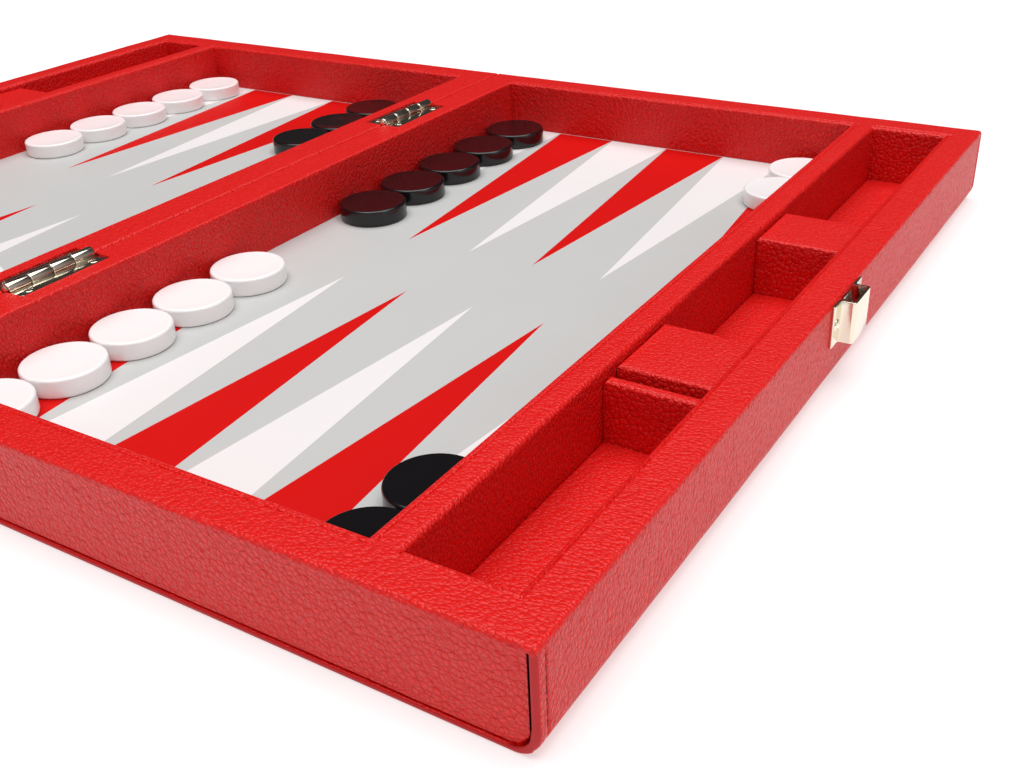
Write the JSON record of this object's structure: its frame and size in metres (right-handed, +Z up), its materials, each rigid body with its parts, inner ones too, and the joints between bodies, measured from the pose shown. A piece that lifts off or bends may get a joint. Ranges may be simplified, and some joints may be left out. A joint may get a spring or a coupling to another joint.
{
  "type": "backgammon set",
  "caption": "Folding leather-covered backgammon case lying open, with inlaid points, checkers, dice, doubling cube, hinges and a sliding catch.",
  "frame": {"origin": "middle of the underside, below the fold", "axes": "+X across the two halves towards the half with the keeper, +Y from front to back along the fold, +Z up"},
  "size_m": [0.5463, 0.406, 0.036],
  "materials": {
    "red_leather": "pebbled, soft sheen",
    "red_lining": "pebbled, matt",
    "field_grey": "smooth, matt",
    "inlay_white": "smooth, matt",
    "inlay_red": "smooth, matt",
    "nickel": "polished nickel",
    "screw_metal": "polished nickel",
    "spring_steel": "satin",
    "checker_white": "glossy",
    "checker_black": "glossy",
    "die_white": "glossy",
    "die_red": "glossy",
    "cube_white": "satin"
  },
  "bodies": {
    "left_half": {"left_cover": "red_leather", "left_front_wall": "red_leather", "left_back_wall": "red_leather", "left_bar": "red_leather", "left_tray_wall": "red_leather", "left_tray_blocks": "red_leather", "left_field_panel": "field_grey", "left_red_points": "inlay_red", "left_white_points": "inlay_white", "left_hinge_leaves": "nickel", "left_screws": "screw_metal", "hinge_pins": "nickel", "bolt_guide": "nickel"},
    "right_half": {"right_cover": "red_leather", "right_front_wall": "red_leather", "right_back_wall": "red_leather", "right_bar": "red_leather", "right_tray_wall": "red_leather", "right_tray_blocks": "red_leather", "right_field_panel": "field_grey", "right_red_points": "inlay_red", "right_white_points": "inlay_white", "right_hinge_leaves": "nickel", "right_screws": "screw_metal", "keeper": "nickel", "keeper_spring": "spring_steel"},
    "bolt": {"slide_bolt": "nickel"},
    "black_checker_01": {"black_checker_01": "checker_black"},
    "black_checker_02": {"black_checker_02": "checker_black"},
    "black_checker_03": {"black_checker_03": "checker_black"},
    "black_checker_04": {"black_checker_04": "checker_black"},
    "black_checker_05": {"black_checker_05": "checker_black"},
    "black_checker_06": {"black_checker_06": "checker_black"},
    "black_checker_07": {"black_checker_07": "checker_black"},
    "black_checker_08": {"black_checker_08": "checker_black"},
    "black_checker_09": {"black_checker_09": "checker_black"},
    "black_checker_10": {"black_checker_10": "checker_black"},
    "black_checker_11": {"black_checker_11": "checker_black"},
    "black_checker_12": {"black_checker_12": "checker_black"},
    "black_checker_13": {"black_checker_13": "checker_black"},
    "black_checker_14": {"black_checker_14": "checker_black"},
    "black_checker_15": {"black_checker_15": "checker_black"},
    "white_checker_01": {"white_checker_01": "checker_white"},
    "white_checker_02": {"white_checker_02": "checker_white"},
    "white_checker_03": {"white_checker_03": "checker_white"},
    "white_checker_04": {"white_checker_04": "checker_white"},
    "white_checker_05": {"white_checker_05": "checker_white"},
    "white_checker_06": {"white_checker_06": "checker_white"},
    "white_checker_07": {"white_checker_07": "checker_white"},
    "white_checker_08": {"white_checker_08": "checker_white"},
    "white_checker_09": {"white_checker_09": "checker_white"},
    "white_checker_10": {"white_checker_10": "checker_white"},
    "white_checker_11": {"white_checker_11": "checker_white"},
    "white_checker_12": {"white_checker_12": "checker_white"},
    "white_checker_13": {"white_checker_13": "checker_white"},
    "white_checker_14": {"white_checker_14": "checker_white"},
    "white_checker_15": {"white_checker_15": "checker_white"},
    "white_dice": {"white_dice": "die_white"},
    "red_dice": {"red_dice": "die_red"},
    "doubling_cube": {"doubling_cube": "cube_white"}
  },
  "joints": [
    {"name": "board_fold", "type": "hinge", "parent": "left_half", "child": "right_half", "pos_m": [0, 0, 0.03355], "axis": [0, -1, 0], "range_deg": [0, 180]},
    {"name": "bolt_slide", "type": "slide", "parent": "left_half", "child": "bolt", "axis": [0, 0, 1], "range_m": [0, 0.012]},
    {"name": "lift_black_checker_01", "type": "slide", "parent": "right_half", "child": "black_checker_01", "axis": [0, 0, 1], "range_m": [0, 0.026]},
    {"name": "lift_black_checker_02", "type": "slide", "parent": "right_half", "child": "black_checker_02", "axis": [0, 0, 1], "range_m": [0, 0.026]},
    {"name": "lift_black_checker_03", "type": "slide", "parent": "right_half", "child": "black_checker_03", "axis": [0, 0, 1], "range_m": [0, 0.026]},
    {"name": "lift_black_checker_04", "type": "slide", "parent": "right_half", "child": "black_checker_04", "axis": [0, 0, 1], "range_m": [0, 0.026]},
    {"name": "lift_black_checker_05", "type": "slide", "parent": "right_half", "child": "black_checker_05", "axis": [0, 0, 1], "range_m": [0, 0.026]},
    {"name": "lift_black_checker_06", "type": "slide", "parent": "right_half", "child": "black_checker_06", "axis": [0, 0, 1], "range_m": [0, 0.026]},
    {"name": "lift_black_checker_07", "type": "slide", "parent": "right_half", "child": "black_checker_07", "axis": [0, 0, 1], "range_m": [0, 0.026]},
    {"name": "lift_black_checker_08", "type": "slide", "parent": "left_half", "child": "black_checker_08", "axis": [0, 0, 1], "range_m": [0, 0.026]},
    {"name": "lift_black_checker_09", "type": "slide", "parent": "left_half", "child": "black_checker_09", "axis": [0, 0, 1], "range_m": [0, 0.026]},
    {"name": "lift_black_checker_10", "type": "slide", "parent": "left_half", "child": "black_checker_10", "axis": [0, 0, 1], "range_m": [0, 0.026]},
    {"name": "lift_black_checker_11", "type": "slide", "parent": "left_half", "child": "black_checker_11", "axis": [0, 0, 1], "range_m": [0, 0.026]},
    {"name": "lift_black_checker_12", "type": "slide", "parent": "left_half", "child": "black_checker_12", "axis": [0, 0, 1], "range_m": [0, 0.026]},
    {"name": "lift_black_checker_13", "type": "slide", "parent": "left_half", "child": "black_checker_13", "axis": [0, 0, 1], "range_m": [0, 0.026]},
    {"name": "lift_black_checker_14", "type": "slide", "parent": "left_half", "child": "black_checker_14", "axis": [0, 0, 1], "range_m": [0, 0.026]},
    {"name": "lift_black_checker_15", "type": "slide", "parent": "left_half", "child": "black_checker_15", "axis": [0, 0, 1], "range_m": [0, 0.026]},
    {"name": "lift_white_checker_01", "type": "slide", "parent": "right_half", "child": "white_checker_01", "axis": [0, 0, 1], "range_m": [0, 0.026]},
    {"name": "lift_white_checker_02", "type": "slide", "parent": "right_half", "child": "white_checker_02", "axis": [0, 0, 1], "range_m": [0, 0.026]},
    {"name": "lift_white_checker_03", "type": "slide", "parent": "right_half", "child": "white_checker_03", "axis": [0, 0, 1], "range_m": [0, 0.026]},
    {"name": "lift_white_checker_04", "type": "slide", "parent": "right_half", "child": "white_checker_04", "axis": [0, 0, 1], "range_m": [0, 0.026]},
    {"name": "lift_white_checker_05", "type": "slide", "parent": "right_half", "child": "white_checker_05", "axis": [0, 0, 1], "range_m": [0, 0.026]},
    {"name": "lift_white_checker_06", "type": "slide", "parent": "right_half", "child": "white_checker_06", "axis": [0, 0, 1], "range_m": [0, 0.026]},
    {"name": "lift_white_checker_07", "type": "slide", "parent": "right_half", "child": "white_checker_07", "axis": [0, 0, 1], "range_m": [0, 0.026]},
    {"name": "lift_white_checker_08", "type": "slide", "parent": "left_half", "child": "white_checker_08", "axis": [0, 0, 1], "range_m": [0, 0.026]},
    {"name": "lift_white_checker_09", "type": "slide", "parent": "left_half", "child": "white_checker_09", "axis": [0, 0, 1], "range_m": [0, 0.026]},
    {"name": "lift_white_checker_10", "type": "slide", "parent": "left_half", "child": "white_checker_10", "axis": [0, 0, 1], "range_m": [0, 0.026]},
    {"name": "lift_white_checker_11", "type": "slide", "parent": "left_half", "child": "white_checker_11", "axis": [0, 0, 1], "range_m": [0, 0.026]},
    {"name": "lift_white_checker_12", "type": "slide", "parent": "left_half", "child": "white_checker_12", "axis": [0, 0, 1], "range_m": [0, 0.026]},
    {"name": "lift_white_checker_13", "type": "slide", "parent": "left_half", "child": "white_checker_13", "axis": [0, 0, 1], "range_m": [0, 0.026]},
    {"name": "lift_white_checker_14", "type": "slide", "parent": "left_half", "child": "white_checker_14", "axis": [0, 0, 1], "range_m": [0, 0.026]},
    {"name": "lift_white_checker_15", "type": "slide", "parent": "left_half", "child": "white_checker_15", "axis": [0, 0, 1], "range_m": [0, 0.026]},
    {"name": "lift_white_dice", "type": "slide", "parent": "left_half", "child": "white_dice", "axis": [0, 0, 1], "range_m": [0, 0.026]},
    {"name": "lift_red_dice", "type": "slide", "parent": "left_half", "child": "red_dice", "axis": [0, 0, 1], "range_m": [0, 0.026]},
    {"name": "lift_doubling_cube", "type": "slide", "parent": "left_half", "child": "doubling_cube", "axis": [0, 0, 1], "range_m": [0, 0.026]}
  ]
}
